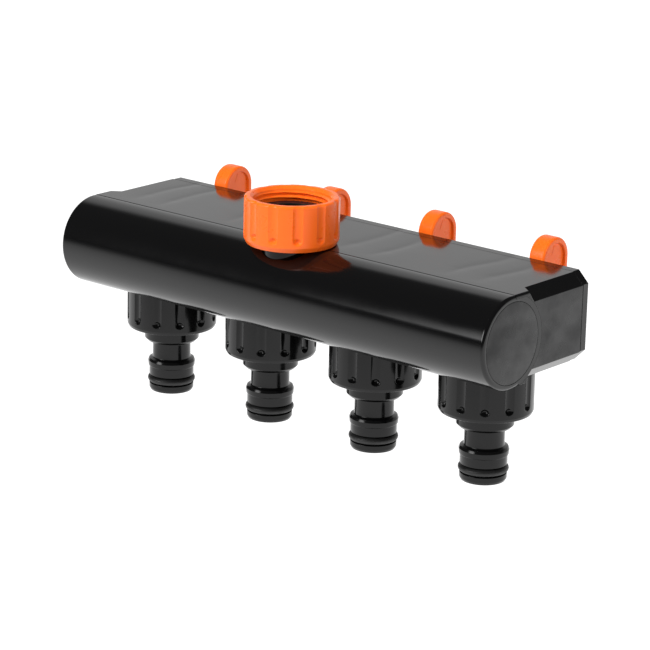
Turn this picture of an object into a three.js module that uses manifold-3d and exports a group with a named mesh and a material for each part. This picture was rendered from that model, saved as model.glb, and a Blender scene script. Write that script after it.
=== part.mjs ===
// Hose splitter: a tap feeds one swivel nut on top of a round water gallery. Four quarter-turn
// valves behind the gallery each let water down into a threaded spout, where a swivel nut holds
// a push-on hose nipple.
//
// Millimetres, +Z up, +X along the gallery, levers at +Y. Everything is placed about the
// gallery's axis, and the finished assembly is moved so that its origin is the middle of the
// inlet washer's top face, which is where the tap's spout end seats.

import * as THREE from 'three';
import { mergeVertices } from 'three/addons/utils/BufferGeometryUtils.js';
import Module from 'manifold-3d';

const wasm = await Module();
wasm.setup();

// ---- driving dimensions ----

const GAP = 0.3;                    // clearance between pieces that meet
const OUTLET_PITCH = 48;
const OUTLET_COUNT = 4;
const OUTLET_Y = 17.93;             // outlet axes stand behind the gallery's axis
const GALLERY_RADIUS = 16;
const GALLERY_BORE = 13.2;
const HALF_LENGTH = 95.1;
const GALLERY_PORT = 6.5;           // the hole in the gallery's back before each valve
const RIM_ROUND = 1.2;              // the gallery's ends are rounded over
const CAP_RADIUS = 13.75;           // middle of the seam round each end cap
const CAP_THICKNESS = 3.7;
const CAP_DEPTH = 9;                // how far the cap's hollow plug reaches in

const BOX_TOP = 15.95;
const BOX_BOTTOM = -15.25;
const BOX_FRONT = 1.1;              // where the flat top meets the round gallery
const COVER_FRONT = 38.4;
const COVER_BACK = 42;
const BOX_WALL = 2;
const TONGUE_BOTTOM = 14.6;         // the box's flat top laps over the gallery down to here
const COVER_INSET = 0.45;           // the cover is a little shorter than the box at each end
const END_CHAMFER = 4.06;
const TOP_CHAMFER_START = 11;       // the end chamfers stop short of the gallery
const BOTTOM_CHAMFER_START = 8.7;

const THREAD_PITCH = 1.814;         // G3/4
const THREAD_ROOT = 13.35;          // the nut's bore
const THREAD_CREST = 12.15;         // the nut's ridge
const SPOUT_RADIUS = 12;            // the outlet's male thread, at its root
const SPOUT_BORE = 9;
const SPOUT_END = -23.6;

const NUT_HOLE = 10.4;
const INLET_NUT = { radius: 16.45, bottom: 16.2, height: 16.3, wall: 2.8, turn: 18 };
const OUTLET_NUT = { radius: 16.25, bottom: -31.8, height: 15.5, wall: 2.8 };
const NUT_LEAD_IN = 1;              // the bore opens out over this height at the nut's mouth
const INLET_THREAD_TURNS = 1.25;    // plain bore below them, where the spigot's flange turns
const OUTLET_NUT_TURNS = [23, 29, 10, 6];   // how far each nut has been screwed, in degrees
const FLUTES = 12;
const FLUTE_WIDTH = 2.8;
const FLUTE_DEPTH = 0.6;
const FLUTE_START = 4;              // plain band above each nut's closed end

const INLET_SEAT = 27.8;
const SPIGOT_FOOT = 9.6;            // the spigot is set right through the gallery's wall
const WASHER_RADIUS = 11.6;
const WASHER_BORE = 7.8;
const FLANGE_RADIUS = 11.7;

const PLUG_RADIUS = 9;
const PLUG_FRONT = 16.5;
const PLUG_SHOULDER = 33;
const BARREL_BORE = 9.3;
const BARREL_WALL = 2;
const BARREL_BACK = 33.5;
const PORT_Y = 21.9;                // where the plug's side window faces down
const PORT_RADIUS = 4.9;
const STEM_RADIUS = 4.9;
const STEM_HOLE = 5.3;
const PLUG_SEAL_PLACES = [28.6, 31.4];
const PLUG_SEAL = { ring: 8.15, cord: 0.95 };

const LEVER_FRONT = COVER_BACK + GAP;
const LEVER_BACK = 57.5;
const LEVER_TOP = 22.4;
const FIN_FRONT = 43;
const FIN_THICKNESS = 6.4;
const FIN_BORDER = 1.9;
const FIN_RECESS = 1;
const HUB_RADIUS = 10;
const DRIVE_SQUARE = 6.6;
const DRIVE_END = 47;
const SCREW_SEAT = 48.6;            // floor of the well for the lever's screw

const NIPPLE_BORE = 4.4;
const NECK_RADIUS = 6.9;            // the connector's catch closes round the neck
const TIP_SEAL = { ring: 7.4, cord: 1.25, z: -52 };
const COVER_SCREW_PLACES = [-88.6, -48, 0, 48, 88.6];
const BOSS_RADIUS = 3.2;
const PILOT_RADIUS = 1.5;
const RIB_THICKNESS = 1.6;

const LARGE = 24;                   // sides on a round surface, by its size
const MEDIUM = 18;
const SMALL = 12;
const TINY = 8;

const outletX = (i) => (i - (OUTLET_COUNT - 1) / 2) * OUTLET_PITCH;

// ---- materials ----

const plastic = (color, roughness) => new THREE.MeshStandardMaterial({ color, roughness, metalness: 0 });
const BLACK_GLOSS = plastic(0x17181a, 0.25);
const BLACK_SATIN = plastic(0x1b1c1e, 0.35);
const ORANGE = plastic(0xff6a14, 0.35);
const RUBBER = plastic(0x0c0c0c, 0.8);
const STEEL = new THREE.MeshStandardMaterial({ color: 0xb9bcc0, roughness: 0.35, metalness: 1 });

// ---- solids ----

// A closed three.js geometry as a solid. Triangles that collapse on a lathe's axis are left out.
function solidOf(geometry) {
  geometry.deleteAttribute('normal');
  geometry.deleteAttribute('uv');
  const merged = mergeVertices(geometry, 1e-4);
  const corners = merged.index.array;
  const kept = [];
  for (let i = 0; i < corners.length; i += 3) {
    const [a, b, c] = corners.slice(i, i + 3);
    if (a !== b && b !== c && c !== a) kept.push(a, b, c);
  }
  return new wasm.Manifold(new wasm.Mesh({
    numProp: 3,
    vertProperties: new Float32Array(merged.attributes.position.array),
    triVerts: new Uint32Array(kept),
  }));
}

function geometryOf(solid) {
  const mesh = solid.getMesh();
  const geometry = new THREE.BufferGeometry();
  geometry.setAttribute('position', new THREE.BufferAttribute(mesh.vertProperties, 3));
  geometry.setIndex(new THREE.BufferAttribute(mesh.triVerts, 1));
  return geometry;
}

const AXIS_TURNS = {
  x: (geometry) => geometry.rotateX(Math.PI / 2).rotateY(Math.PI / 2),
  y: (geometry) => geometry,
  z: (geometry) => geometry.rotateX(Math.PI / 2),
};

// A solid turned about an axis, from [radius, place along the axis] points.
function turned(profile, axis = 'z', segments = MEDIUM) {
  const points = profile.map(([radius, along]) => new THREE.Vector2(radius, along));
  if (THREE.ShapeUtils.area(points) < 0) points.reverse();
  const closed = points[0].x > 0 || points[points.length - 1].x > 0;
  if (closed) points.push(points[0].clone());
  return solidOf(AXIS_TURNS[axis](new THREE.LatheGeometry(points, segments)));
}

const rod = (radius, from, to, axis = 'z', segments = MEDIUM) =>
  turned([[0, from], [radius, from], [radius, to], [0, to]], axis, segments);

const ring = (bore, radius, from, to, axis = 'z', segments = MEDIUM) =>
  turned([[bore, from], [radius, from], [radius, to], [bore, to]], axis, segments);

function seal({ ring: radius, cord }, axis, segments) {
  const sides = 5;
  const profile = [];
  for (let i = 0; i < sides; i += 1) {
    const angle = (2 * Math.PI * i) / sides;
    profile.push([radius + cord * Math.cos(angle), cord * Math.sin(angle)]);
  }
  return turned(profile, axis, segments);
}

function block([x0, x1], [y0, y1], [z0, z1]) {
  const geometry = new THREE.BoxGeometry(x1 - x0, y1 - y0, z1 - z0);
  return solidOf(geometry.translate((x0 + x1) / 2, (y0 + y1) / 2, (z0 + z1) / 2));
}

// A flat outline pushed along Z from one height to another.
function pushed(outline, from, to) {
  const shape = outline instanceof THREE.Shape
    ? outline
    : new THREE.Shape(outline.map(([x, y]) => new THREE.Vector2(x, y)));
  const options = { depth: to - from, bevelEnabled: false, curveSegments: 5 };
  return new THREE.ExtrudeGeometry(shape, options).translate(0, 0, from);
}

const union = (first, ...others) => others.reduce((sum, next) => sum.add(next), first);
const cut = (first, ...others) => others.reduce((rest, next) => rest.subtract(next), first);

// ---- the box behind the gallery ----

// A long block with chamfered ends along its top and bottom edges.
function chamferedBlock(halfLength, [front, back], [bottom, top]) {
  const edge = halfLength - END_CHAMFER;
  const wedge = (start, z, side) => {
    const outline = [[edge, z], [halfLength + 1, z], [halfLength + 1, z - side * (END_CHAMFER + 1)]];
    const geometry = pushed(outline, -Math.max(back + 1, start), -start).rotateX(Math.PI / 2);
    return solidOf(geometry);
  };
  const right = union(
    wedge(TOP_CHAMFER_START, BOX_TOP, 1),
    wedge(BOTTOM_CHAMFER_START, BOX_BOTTOM, -1),
  );
  const whole = block([-halfLength, halfLength], [front, back], [bottom, top]);
  return cut(whole, right, right.mirror([1, 0, 0]));
}

// The gallery's round back with some clearance, less the tongue that laps over its top.
function saddle() {
  const round = rod(GALLERY_RADIUS + GAP, -HALF_LENGTH - 1, HALF_LENGTH + 1, 'x', LARGE);
  const tongueRoom = block(
    [-HALF_LENGTH - 2, HALF_LENGTH + 2],
    [0, GALLERY_RADIUS],
    [TONGUE_BOTTOM + GAP, BOX_TOP + 2],
  );
  return cut(round, tongueRoom);
}

function valveHousing() {
  const shell = chamferedBlock(HALF_LENGTH, [BOX_FRONT + GAP, COVER_FRONT], [BOX_BOTTOM, BOX_TOP]);
  const roomEnd = HALF_LENGTH - END_CHAMFER;
  const saddleWall = rod(GALLERY_RADIUS + GAP + BOX_WALL, -HALF_LENGTH, HALF_LENGTH, 'x', MEDIUM);
  const room = cut(
    block(
      [-roomEnd, roomEnd],
      [BOX_FRONT + 4, COVER_FRONT + 1],
      [BOX_BOTTOM + BOX_WALL, BOX_TOP - BOX_WALL],
    ),
    saddleWall,
  );
  let housing = cut(shell, room);
  for (const x of COVER_SCREW_PLACES) {
    const boss = rod(BOSS_RADIUS, GALLERY_RADIUS, COVER_FRONT, 'y', TINY).translate([x, 0, 0]);
    housing = housing.add(boss);
    if (Math.abs(x) < OUTLET_PITCH * 1.5) {
      housing = housing.add(block(
        [x - RIB_THICKNESS / 2, x + RIB_THICKNESS / 2],
        [GALLERY_RADIUS, COVER_FRONT - 1],
        [BOX_BOTTOM + 1, BOX_TOP - 1],
      ));
    }
  }
  for (let i = 0; i < OUTLET_COUNT; i += 1) {
    const barrelHole = rod(BARREL_BORE + BARREL_WALL + GAP, 10, BARREL_BACK, 'y');
    const spoutHole = rod(SPOUT_RADIUS + GAP, BOX_BOTTOM - 2, BOX_BOTTOM + BOX_WALL + GAP);
    const holes = union(barrelHole, spoutHole.translate([0, OUTLET_Y, 0]));
    housing = housing.subtract(holes.translate([outletX(i), 0, 0]));
  }
  housing = cut(housing, saddle(), rod(NUT_HOLE, 9, GALLERY_RADIUS + 1));
  for (const x of COVER_SCREW_PLACES) {
    housing = housing.subtract(rod(PILOT_RADIUS, 24, COVER_FRONT + 1, 'y', TINY).translate([x, 0, 0]));
  }
  return housing;
}

// A valve's barrel against the gallery's back, with the threaded spout that stands under it.
function valveBody() {
  const barrel = rod(BARREL_BORE + BARREL_WALL, 10, BARREL_BACK, 'y');
  const spout = rod(SPOUT_RADIUS, SPOUT_END, BOX_BOTTOM + 1).translate([0, OUTLET_Y, 0]);
  const neck = rod(PORT_RADIUS + BARREL_WALL, BOX_BOTTOM, -BARREL_BORE, 'z', SMALL);
  const spoutTop = BOX_BOTTOM - 0.75;
  return cut(
    union(barrel, spout, neck.translate([0, PORT_Y, 0])),
    saddle(),
    rod(BARREL_BORE, 10, BARREL_BACK + 1, 'y'),
    rod(SPOUT_BORE, SPOUT_END - 1, spoutTop).translate([0, OUTLET_Y, 0]),
    rod(PORT_RADIUS, spoutTop - 1, 0, 'z', SMALL).translate([0, PORT_Y, 0]),
  );
}

function backCover() {
  const plate = chamferedBlock(
    HALF_LENGTH - COVER_INSET,
    [COVER_FRONT + GAP, COVER_BACK],
    [BOX_BOTTOM, BOX_TOP],
  );
  let cover = plate;
  for (let i = 0; i < OUTLET_COUNT; i += 1) {
    const place = [outletX(i), 0, 0];
    const keeper = rod(BARREL_BORE + 1, BARREL_BACK + GAP, COVER_FRONT + 1, 'y', SMALL);
    cover = cover.add(keeper.translate(place));
    cover = cover.subtract(rod(STEM_HOLE, BARREL_BACK, COVER_BACK + 1, 'y', MEDIUM).translate(place));
  }
  for (const x of COVER_SCREW_PLACES) {
    const hole = turned([
      [0, COVER_FRONT], [1.8, COVER_FRONT], [1.8, 40], [3.5, 41.4], [3.5, 43], [0, 43],
    ], 'y', TINY);
    cover = cover.subtract(hole.translate([x, 0, 0]));
  }
  return cover;
}

// ---- gallery ----

function gallery() {
  const half = HALF_LENGTH;
  const outer = GALLERY_RADIUS;
  const capSeat = CAP_RADIUS + GAP / 2;
  const side = [
    [outer, half - RIM_ROUND], [outer - 0.35, half - 0.35], [outer - RIM_ROUND, half],
    [capSeat, half], [capSeat, half - CAP_THICKNESS - GAP], [GALLERY_BORE, half - CAP_THICKNESS - GAP],
  ];
  const otherSide = side.map(([radius, along]) => [radius, -along]).reverse();
  const tube = turned([...side, ...otherSide], 'x', LARGE);
  const lap = block([-half - 1, half + 1], [BOX_FRONT, 9], [TONGUE_BOTTOM, 17]);
  let solid = cut(tube, lap, rod(NUT_HOLE, 5, 20));
  for (let i = 0; i < OUTLET_COUNT; i += 1) {
    solid = solid.subtract(rod(GALLERY_PORT, 5, 20, 'y', SMALL).translate([outletX(i), 0, 0]));
  }
  return solid;
}

// A cap sits in the gallery's mouth, with a short hollow plug behind it.
function endCap(side) {
  const face = HALF_LENGTH;
  const back = face - CAP_THICKNESS;
  const end = face - CAP_DEPTH;
  const profile = [
    [0, face], [CAP_RADIUS - GAP / 2, face], [CAP_RADIUS - GAP / 2, back],
    [GALLERY_BORE - GAP, back], [GALLERY_BORE - GAP, end],
    [GALLERY_BORE - 2, end], [GALLERY_BORE - 2, back + 0.7], [0, back + 0.7],
  ];
  return turned(profile.map(([radius, along]) => [radius, side * along]), 'x', LARGE);
}

// ---- inlet ----

function inletSpigot() {
  return turned([
    [7.5, SPIGOT_FOOT], [NUT_HOLE - GAP, SPIGOT_FOOT], [NUT_HOLE - GAP, 22], [FLANGE_RADIUS, 22],
    [FLANGE_RADIUS, 24.8], [7.5, 24.8],
  ]);
}

// ---- swivel nuts ----

function flutedOutline(radius) {
  const half = FLUTE_WIDTH / 2 / radius;
  const step = (2 * Math.PI) / FLUTES;
  const outline = [];
  const put = (r, angle) => outline.push([r * Math.cos(angle), r * Math.sin(angle)]);
  for (let i = 0; i < FLUTES; i += 1) {
    const middle = i * step;
    put(radius, middle - half);
    put(radius - FLUTE_DEPTH, middle - half * 0.45);
    put(radius - FLUTE_DEPTH, middle + half * 0.45);
    put(radius, middle + half);
  }
  return outline;
}

// A helix that keeps its section upright as it climbs.
class Helix extends THREE.Curve {
  constructor(radius, from, turns) {
    super();
    Object.assign(this, { radius, from, turns });
  }

  getPoint(t, target = new THREE.Vector3()) {
    const angle = 2 * Math.PI * this.turns * t;
    const height = this.from + THREAD_PITCH * this.turns * t;
    return target.set(this.radius * Math.cos(angle), this.radius * Math.sin(angle), height);
  }

  getPointAt(t, target) {
    return this.getPoint(t, target);
  }

  computeFrenetFrames(steps) {
    const frames = { tangents: [], normals: [], binormals: [] };
    for (let i = 0; i <= steps; i += 1) {
      const angle = (2 * Math.PI * this.turns * i) / steps;
      frames.tangents.push(new THREE.Vector3(-Math.sin(angle), Math.cos(angle), 0));
      frames.normals.push(new THREE.Vector3(-Math.cos(angle), -Math.sin(angle), 0));
      frames.binormals.push(new THREE.Vector3(0, 0, 1));
    }
    return frames;
  }
}

// The ridge of a female thread: its foot is buried in the nut's wall.
function threadRidge(from, turns) {
  const foot = THREAD_ROOT + 0.5;
  const section = new THREE.Shape([
    new THREE.Vector2(0, -0.85),
    new THREE.Vector2(foot - THREAD_CREST, -0.2),
    new THREE.Vector2(foot - THREAD_CREST, 0.2),
    new THREE.Vector2(0, 0.85),
  ]);
  const helix = new Helix(foot, from, turns);
  const options = { steps: Math.round(turns * SMALL), extrudePath: helix, bevelEnabled: false };
  return solidOf(new THREE.ExtrudeGeometry(section, options));
}

// A swivel nut with its closed end down.
function nut({ radius, bottom, height, wall }, turn, threadTurns = 0) {
  const top = bottom + height;
  const foot = turned([
    [0, bottom], [radius - 1.5, bottom], [radius - 0.45, bottom + 0.45], [radius, bottom + 1.5],
    [radius, bottom + FLUTE_START], [0, bottom + FLUTE_START],
  ], 'z', 2 * FLUTES);
  const grip = solidOf(pushed(flutedOutline(radius), bottom + FLUTE_START - 0.01, top));
  const hollow = turned([
    [0, bottom - 1], [NUT_HOLE, bottom - 1], [NUT_HOLE, bottom + wall],
    [THREAD_ROOT, bottom + wall], [THREAD_ROOT, top - NUT_LEAD_IN], [radius - 2, top], [radius - 2, top + 1],
    [0, top + 1],
  ]);
  let solid = cut(union(foot, grip), hollow);
  if (threadTurns > 0) {
    solid = solid.add(threadRidge(top - 1.7 - threadTurns * THREAD_PITCH, threadTurns));
  }
  return solid.rotate([0, 0, turn]);
}

// ---- nipples ----

// From its flange inside the nut down past the collar, the neck, the head and the seal to the tip.
function nipple() {
  return turned([
    [7.5, -26.2], [FLANGE_RADIUS, -26.2], [FLANGE_RADIUS, -28.7], [9.9, -28.7], [9.9, -36.3],
    [8.9, -37.4], [NECK_RADIUS, -37.8], [NECK_RADIUS, -43.7], [8.2, -44.3], [8.6, -45.4],
    [8.1, -48.4], [8.1, -50.4], [5.85, -50.4], [5.85, -53.6], [8.1, -53.6], [8.1, -55.3],
    [7.6, -56.3], [NIPPLE_BORE, -56.3], [NIPPLE_BORE, -38], [7.5, -34],
  ], 'z', SMALL);
}

// ---- valves ----

// The rotary plug: water enters its open front end and leaves by the window in its side.
function valvePlug() {
  const grooves = PLUG_SEAL_PLACES.flatMap((y) => {
    const half = PLUG_SEAL.cord + 0.2;
    const floor = PLUG_SEAL.ring - PLUG_SEAL.cord - GAP;
    return [[PLUG_RADIUS, y - half], [floor, y - half], [floor, y + half], [PLUG_RADIUS, y + half]];
  });
  const body = turned([
    [0, PORT_Y + PORT_RADIUS], [6.6, PORT_Y + PORT_RADIUS - 0.5], [6.6, PLUG_FRONT],
    [PLUG_RADIUS, PLUG_FRONT], ...grooves, [PLUG_RADIUS, PLUG_SHOULDER],
    [STEM_RADIUS, PLUG_SHOULDER], [STEM_RADIUS, COVER_BACK - 0.2], [0, COVER_BACK - 0.2],
  ], 'y', SMALL);
  const half = DRIVE_SQUARE / 2;
  const drive = block([-half, half], [COVER_BACK - 1, DRIVE_END], [-half, half]);
  const window = rod(PORT_RADIUS - 0.3, -12, 0, 'z', SMALL).translate([0, PORT_Y, 0]);
  const screwHole = rod(1.6, 37, DRIVE_END + 1, 'y', TINY);
  return cut(union(body, drive), window, screwHole);
}

// The fin's outline in the plane of Y and Z, moved in from its edge by the border given.
function finOutline(border) {
  const tipRadius = (LEVER_BACK - FIN_FRONT) / 2;
  const tip = new THREE.Vector2((LEVER_BACK + FIN_FRONT) / 2, LEVER_TOP - tipRadius);
  const shape = new THREE.Shape();
  shape.moveTo(FIN_FRONT + border, border);
  shape.lineTo(52 - border * 0.5, border);
  shape.lineTo(LEVER_BACK - border, 9);
  shape.absarc(tip.x, tip.y, tipRadius - border, 0, Math.PI, false);
  shape.closePath();
  return shape;
}

// Pushes an outline of the plane of Y and Z along X.
function pushedX(shape, from, to) {
  const geometry = pushed(shape, from, to);
  return solidOf(geometry.rotateX(Math.PI / 2).rotateZ(Math.PI / 2));
}

function lever() {
  const half = FIN_THICKNESS / 2;
  const hub = turned([
    [0, LEVER_FRONT], [HUB_RADIUS, LEVER_FRONT], [HUB_RADIUS, 44.6], [9.3, 45.3], [6.6, 45.8], [6.2, 52],
    [0, 52],
  ], 'y');
  const fin = pushedX(finOutline(0), -half, half);
  const recess = pushedX(finOutline(FIN_BORDER), half - FIN_RECESS, half + 1);
  const openRecess = cut(recess, rod(7.4, 40, 60, 'y', SMALL));
  const socket = (DRIVE_SQUARE + 0.6) / 2;
  return cut(
    union(hub, fin),
    openRecess,
    openRecess.mirror([1, 0, 0]),
    block([-socket, socket], [LEVER_FRONT - 1, DRIVE_END + GAP], [-socket, socket]),
    rod(1.9, 40, 53, 'y', TINY),
    rod(3.7, SCREW_SEAT, 60, 'y', SMALL),
  );
}

// ---- fasteners and seals ----

// A pan-head screw along Y, its head towards +Y, with a cross recess.
function screw(seat, headRadius, headHeight, shankRadius, length) {
  const top = seat + headHeight;
  const solid = turned([
    [0, seat - length], [shankRadius, seat - length + 1], [shankRadius, seat], [headRadius, seat],
    [headRadius, top - 0.6], [headRadius - 0.7, top], [0, top],
  ], 'y', TINY);
  const arm = headRadius * 0.6;
  const slot = block([-arm, arm], [top - 0.9, top + 1], [-0.35, 0.35]);
  return cut(solid, slot, slot.rotate([0, 90, 0]));
}

function countersunkScrew() {
  const top = COVER_BACK - GAP;
  const solid = turned([
    [0, 28], [1.2, 29], [1.2, 40.2], [3.1, 41.5], [3.1, top], [0, top],
  ], 'y', TINY);
  const slot = block([-1.8, 1.8], [top - 0.9, top + 1], [-0.35, 0.35]);
  return cut(solid, slot, slot.rotate([0, 90, 0]));
}

// ---- assembly ----

const assembly = new THREE.Group();
assembly.position.z = -INLET_SEAT;

function place(name, solid, material, x = 0, y = 0, z = 0) {
  const mesh = new THREE.Mesh(geometryOf(solid), material);
  mesh.name = name;
  mesh.position.set(x, y, z);
  assembly.add(mesh);
}

place('gallery_tube', gallery(), BLACK_GLOSS);
place('valve_housing', valveHousing(), BLACK_GLOSS);
place('back_cover', backCover(), BLACK_GLOSS);
place('end_cap_left', endCap(-1), BLACK_GLOSS);
place('end_cap_right', endCap(1), BLACK_GLOSS);
COVER_SCREW_PLACES.forEach((x, i) => place(`cover_screw_${i + 1}`, countersunkScrew(), STEEL, x));

place('inlet_spigot', inletSpigot(), BLACK_SATIN);
place('inlet_washer', ring(WASHER_BORE, WASHER_RADIUS, 25.1, INLET_SEAT), RUBBER);
place('inlet_nut', nut(INLET_NUT, INLET_NUT.turn, INLET_THREAD_TURNS), ORANGE);

for (let i = 0; i < OUTLET_COUNT; i += 1) {
  const x = outletX(i);
  const number = i + 1;
  place(`valve_body_${number}`, valveBody(), BLACK_GLOSS, x);
  place(`outlet_nut_${number}`, nut(OUTLET_NUT, OUTLET_NUT_TURNS[i]), BLACK_SATIN, x, OUTLET_Y);
  place(`nipple_${number}`, nipple(), BLACK_SATIN, x, OUTLET_Y);
  place(`nipple_seal_${number}`, seal(TIP_SEAL, 'z', SMALL), RUBBER, x, OUTLET_Y, TIP_SEAL.z);
  place(
    `outlet_washer_${number}`,
    ring(WASHER_BORE, WASHER_RADIUS, -25.9, -23.9, 'z', SMALL),
    RUBBER,
    x,
    OUTLET_Y,
  );
  place(`valve_plug_${number}`, valvePlug(), BLACK_SATIN, x);
  PLUG_SEAL_PLACES.forEach((y, k) => {
    place(`plug_seal_${number}${'ab'[k]}`, seal(PLUG_SEAL, 'y', SMALL), RUBBER, x, y);
  });
  place(`lever_${number}`, lever(), ORANGE, x);
  place(`lever_screw_${number}`, screw(SCREW_SEAT + GAP, 3.2, 2, 1.3, 10), STEEL, x);
}

export default assembly;
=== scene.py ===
"""Looks of the hose splitter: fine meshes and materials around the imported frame.

Shapes are drawn in millimetres about the gallery's axis, as the frame's parts lie, and are moved
into the row frame, in metres, as each mesh is made.
"""
import math

import bmesh
import bpy
import numpy as np
from mathutils import Matrix, Vector


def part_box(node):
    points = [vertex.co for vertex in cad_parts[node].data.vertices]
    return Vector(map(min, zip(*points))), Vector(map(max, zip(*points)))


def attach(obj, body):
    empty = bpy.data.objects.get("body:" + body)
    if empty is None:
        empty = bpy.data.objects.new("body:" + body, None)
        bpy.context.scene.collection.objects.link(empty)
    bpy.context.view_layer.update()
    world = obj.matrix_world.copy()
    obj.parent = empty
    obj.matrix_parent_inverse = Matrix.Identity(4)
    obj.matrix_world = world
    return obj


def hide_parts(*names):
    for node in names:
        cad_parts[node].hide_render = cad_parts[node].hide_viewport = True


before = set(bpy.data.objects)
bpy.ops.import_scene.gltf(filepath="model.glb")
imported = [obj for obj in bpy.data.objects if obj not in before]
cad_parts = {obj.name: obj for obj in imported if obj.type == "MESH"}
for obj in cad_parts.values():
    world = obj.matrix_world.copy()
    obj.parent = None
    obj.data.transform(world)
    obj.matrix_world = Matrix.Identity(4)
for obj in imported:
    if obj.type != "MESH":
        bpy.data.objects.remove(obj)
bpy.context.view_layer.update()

MM = 0.001
SEAM = 0.06        # the gap drawn between parts that touch
LAP_STEP = 0.12    # taken off the gallery's radius, so that the box's lap stands proud of it

# ---- places and sizes read from the frame, in millimetres about the gallery's axis ----

gallery_low, gallery_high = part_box("gallery_tube")
AXIS = (gallery_low + gallery_high) / 2
AXIS.x = 0


def cad_range(node, axis):
    """The span of a CAD node along one axis."""
    low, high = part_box(node)
    return ((low[axis] - AXIS[axis]) / MM, (high[axis] - AXIS[axis]) / MM)


OUTLETS = (1, 2, 3, 4)
HALF_LENGTH = cad_range("gallery_tube", 0)[1]
GALLERY_RADIUS = cad_range("gallery_tube", 1)[1] - LAP_STEP
OUTLET_X = {n: round(sum(cad_range(f"outlet_nut_{n}", 0)) / 2) for n in OUTLETS}
OUTLET_Y = round(sum(cad_range("outlet_nut_1", 1)) / 2, 2)
BOX_BOTTOM, BOX_TOP = cad_range("back_cover", 2)
COVER_BACK = cad_range("back_cover", 1)[1]
COVER_HALF = cad_range("back_cover", 0)[1]
HOUSING_BACK = cad_range("valve_housing", 1)[1]
COVER_FRONT = HOUSING_BACK + SEAM
LEVER_FRONT, LEVER_BACK = cad_range("lever_1", 1)
LEVER_TOP = cad_range("lever_1", 2)[1]
TIP_BOTTOM = cad_range("nipple_1", 2)[0]
INLET_NUT = cad_range("inlet_nut", 2)
INLET_NUT_RADIUS = cad_range("inlet_nut", 0)[1]
OUTLET_NUT = cad_range("outlet_nut_1", 2)
WASHER = cad_range("inlet_washer", 2)

# ---- sizes that the frame doesn't give, in millimetres ----

BOX_FRONT = 1.1
LAP_HEIGHT = 14.6
GALLERY_BORE = 13.2
CAP_SEAT = 14.0
CAP_RADIUS = 13.92
END_CHAMFER = 4.06
RIM_ROUND = 1.2
THREAD_PITCH = 1.814
THREAD_ROOT = 13.35
SPOUT_ROOT = 12.0
OUTLET_NUT_RADIUS = 16.25
NUT_HOLE = 10.4
SPIGOT_RADIUS = 10.1
SPIGOT_BORE = 7.5
COLLAR_RADIUS = 11.7
COLLAR_HEIGHTS = (22, 24.8)
SPOUT_BORE = 9
SPOUT_END = -23.6
BARREL = (9.3, 11.3)
BARREL_BACK = 33.5
KEEPER_RADIUS = 10.3
STEM_HOLE = 5.3
WATER_HOLE = 6.5
PORT_Y = 21.9
PORT_RADIUS = 4.9
FLUTES = 12
FLUTE_START = 4.0
NUT_TURN = {"inlet": 18, 1: 23, 2: 29, 3: 10, 4: 6}
COVER_SCREWS = (-88.6, -48, 0, 48, 88.6)
END_SEAM = {"width": 0.8, "depth": 0.6}
FIN_FRONT = 43.0
HUB_RADIUS = 10
DRIVE_HALF = 3.6
LEVER_SEAT = 48.9


# ---- materials ----

def math_node(tree, operation, first, second=0.0):
    """A node that works out one value. Each input is a number or another node's output."""
    node = tree.nodes.new("ShaderNodeMath")
    node.operation = operation
    for socket, value in zip(node.inputs, (first, second)):
        if isinstance(value, (int, float)):
            socket.default_value = value
        else:
            tree.links.new(value, socket)
    return node.outputs[0]


class Material:
    """A principled material with a few helpers for its noise and bump."""

    def __init__(self, name, color, roughness, metallic=0.0):
        self.made = bpy.data.materials.new(name)
        self.made.use_nodes = True
        self.nodes = self.made.node_tree.nodes
        self.links = self.made.node_tree.links
        self.shader = self.nodes["Principled BSDF"]
        self.set("Base Color", (*color, 1))
        self.set("Roughness", roughness)
        self.set("Metallic", metallic)
        coordinates = self.nodes.new("ShaderNodeTexCoord")
        self.place = coordinates.outputs["Object"]

    def set(self, socket, value):
        self.shader.inputs[socket].default_value = value

    def noise(self, scale, detail=3.0, stretch=(1, 1, 1)):
        mapping = self.nodes.new("ShaderNodeMapping")
        mapping.inputs["Scale"].default_value = stretch
        self.links.new(self.place, mapping.inputs["Vector"])
        texture = self.nodes.new("ShaderNodeTexNoise")
        texture.inputs["Scale"].default_value = scale
        texture.inputs["Detail"].default_value = detail
        self.links.new(mapping.outputs["Vector"], texture.inputs["Vector"])
        return texture.outputs["Fac"]

    def ranged(self, value, low, high, start=0.3, end=0.7):
        node = self.nodes.new("ShaderNodeMapRange")
        for socket, number in zip((1, 2, 3, 4), (start, end, low, high)):
            node.inputs[socket].default_value = number
        self.links.new(value, node.inputs[0])
        return node.outputs[0]

    def maths(self, operation, first, second=0.0):
        return math_node(self.made.node_tree, operation, first, second)

    def vary(self, socket, value):
        self.links.new(value, self.shader.inputs[socket])

    def mixed_color(self, value, first, second):
        ramp = self.nodes.new("ShaderNodeValToRGB")
        ramp.color_ramp.elements[0].color = (*first, 1)
        ramp.color_ramp.elements[1].color = (*second, 1)
        self.links.new(value, ramp.inputs["Fac"])
        self.links.new(ramp.outputs["Color"], self.shader.inputs["Base Color"])

    def bump(self, heights):
        """Each height is a value in millimetres; they are added up into one bump."""
        total = heights[0]
        for height in heights[1:]:
            total = self.maths("ADD", total, height)
        node = self.nodes.new("ShaderNodeBump")
        node.inputs["Strength"].default_value = 1.0
        node.inputs["Distance"].default_value = MM
        self.links.new(total, node.inputs["Height"])
        self.links.new(node.outputs["Normal"], self.shader.inputs["Normal"])


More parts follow.
